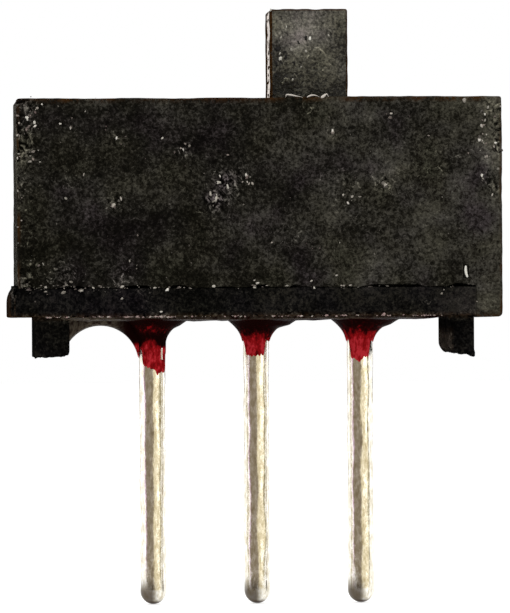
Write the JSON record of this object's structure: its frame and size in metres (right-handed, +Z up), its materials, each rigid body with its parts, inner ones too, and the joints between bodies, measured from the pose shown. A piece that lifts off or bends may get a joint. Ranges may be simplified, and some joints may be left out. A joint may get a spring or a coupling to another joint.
{
  "type": "subminiature slide switch",
  "caption": "Subminiature slide switch for a circuit board: a square stem slides in a slotted box cover over round sealed terminals, changing over one contact.",
  "frame": {"origin": "on the middle terminal's axis, at the height of the circuit board that the feet stand on", "axes": "+Z up towards the stem, +X along the row of terminals towards the stem's rest position, +Y towards the back"},
  "size_m": [0.0119, 0.004, 0.0144],
  "materials": {
    "cover_plastic": "glass-filled thermoplastic, moulded, dusty and scuffed",
    "base_plastic": "glass-filled thermoplastic, moulded, slightly glossier than the cover",
    "slider_plastic": "thermoplastic, moulded, worn grey on the stem",
    "contact_metal": "copper alloy strip, gold over nickel",
    "spring_steel": "drawn stainless spring wire",
    "ball_steel": "ground and polished steel ball",
    "terminal_metal": "brass wire, hot tinned, finely streaked along its length",
    "seal_resin": "cured epoxy resin, translucent red, glossy"
  },
  "bodies": {
    "housing": {"cover": "cover_plastic", "base": "base_plastic", "terminal_left": "terminal_metal", "terminal_common": "terminal_metal", "terminal_right": "terminal_metal", "seal_left": "seal_resin", "seal_common": "seal_resin", "seal_right": "seal_resin"},
    "slide": {"slider": "slider_plastic", "contact_bridge": "contact_metal", "contact_spring": "spring_steel", "detent_spring": "spring_steel", "detent_ball_front": "ball_steel", "detent_ball_back": "ball_steel"}
  },
  "joints": [
    {"name": "slide_travel", "type": "slide", "parent": "housing", "child": "slide", "axis": [-1, 0, 0], "range_m": [0, 0.00254]}
  ]
}
